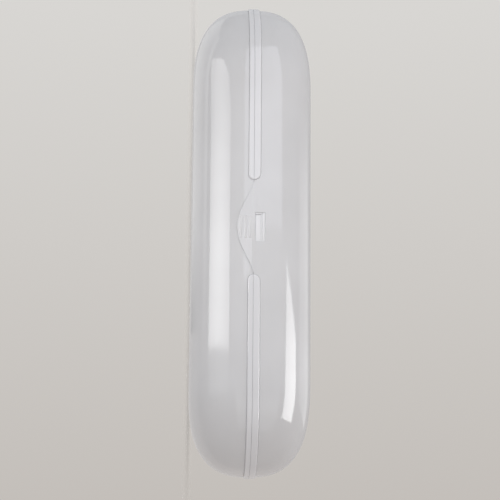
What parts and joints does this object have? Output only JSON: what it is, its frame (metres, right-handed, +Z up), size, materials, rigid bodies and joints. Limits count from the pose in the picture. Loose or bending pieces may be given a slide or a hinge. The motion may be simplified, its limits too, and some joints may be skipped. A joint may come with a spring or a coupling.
{
  "type": "glasses case",
  "caption": "Hard capsule-shaped clamshell glasses case in milky plastic, with a pinned spine hinge, raised rim bands, a crescent thumb tab and a snap catch.",
  "frame": {"origin": "centre of the case's outer box, on the surface that it rests on", "axes": "+X along the case, +Y from the opening edge with the thumb tab to the hinged spine, +Z up through the lid"},
  "size_m": [0.1608, 0.0644, 0.0402],
  "materials": {
    "shell": "glossy, milky",
    "rim": "glossy, milky",
    "catch": "glossy, milky",
    "lining": "flocked",
    "pin": "drawn wire"
  },
  "bodies": {
    "base": {"base_shell": "shell", "base_rim": "rim", "base_lining": "lining", "catch_hook": "catch", "hinge_pin_left": "pin", "hinge_pin_right": "pin"},
    "lid": {"lid_shell": "shell", "lid_rim": "rim", "lid_lining": "lining", "keeper": "catch"}
  },
  "joints": [
    {"name": "lid_hinge", "type": "hinge", "parent": "base", "child": "lid", "pos_m": [0, 0.03018, 0.02005], "axis": [-1, 0, 0], "range_deg": [0, 110]}
  ]
}
